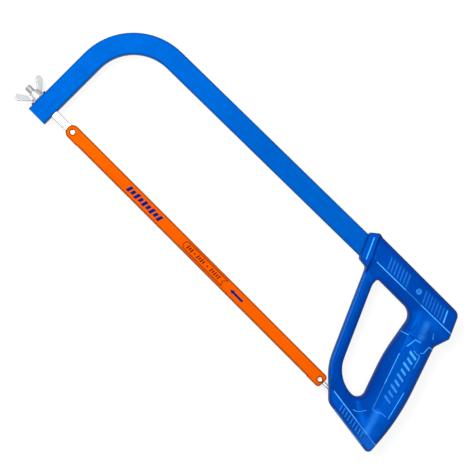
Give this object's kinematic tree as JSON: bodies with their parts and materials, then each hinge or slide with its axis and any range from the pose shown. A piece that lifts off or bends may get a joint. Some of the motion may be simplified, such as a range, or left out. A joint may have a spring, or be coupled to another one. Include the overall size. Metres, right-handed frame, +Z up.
{
  "type": "hacksaw",
  "caption": "Hacksaw: bent rectangular tube frame, closed D handle, toothed blade on two pegs and a wing nut that tightens it.",
  "frame": {"origin": "middle of the underside as the saw lies on its right side", "axes": "+X along the blade towards the handle, +Y from the blade towards the bow, +Z up across the saw, out of its left side"},
  "size_m": [0.4302, 0.1404, 0.031],
  "materials": {
    "blue_paint": "semi-gloss blue powder coat",
    "blue_plastic": "semi-gloss moulded blue",
    "orange_paint": "semi-gloss orange enamel",
    "zinc": "bright zinc plate",
    "dark_steel": "dark blue paint on steel",
    "plug_plastic": "moulded blue"
  },
  "bodies": {
    "frame": {"frame_tube": "blue_paint", "leg_end_plug": "plug_plastic", "stud_guide_sleeve": "zinc", "saddle_washer": "dark_steel", "flat_washer": "zinc", "rear_anchor": "zinc", "anchor_cross_pin": "dark_steel", "front_tube_pin": "dark_steel", "rear_tube_pin": "dark_steel", "left_handle_shell": "blue_plastic", "right_handle_shell": "blue_plastic", "handle_screws": "zinc"},
    "draw_stud": {"draw_stud": "zinc", "front_blade_pin": "zinc"},
    "wing_nut": {"wing_nut": "zinc"},
    "blade": {"blade": "orange_paint"}
  },
  "joints": [
    {"name": "wing_nut_spin", "type": "hinge", "parent": "frame", "child": "wing_nut", "pos_m": [-0.20449, -0.05454, 0.0155], "axis": [-1, 0, 0], "range_deg": [0, 324]},
    {"name": "draw_slide", "type": "slide", "parent": "frame", "child": "draw_stud", "axis": [1, 0, 0], "range_m": [0, 0.0009]},
    {"name": "blade_lift_off", "type": "slide", "parent": "frame", "child": "blade", "axis": [0, 0, 1], "range_m": [0, 0.012]}
  ],
  "couplings": [
    {"joint": "wing_nut_spin", "follows": "draw_slide", "rad_per_m": 6283.2}
  ]
}
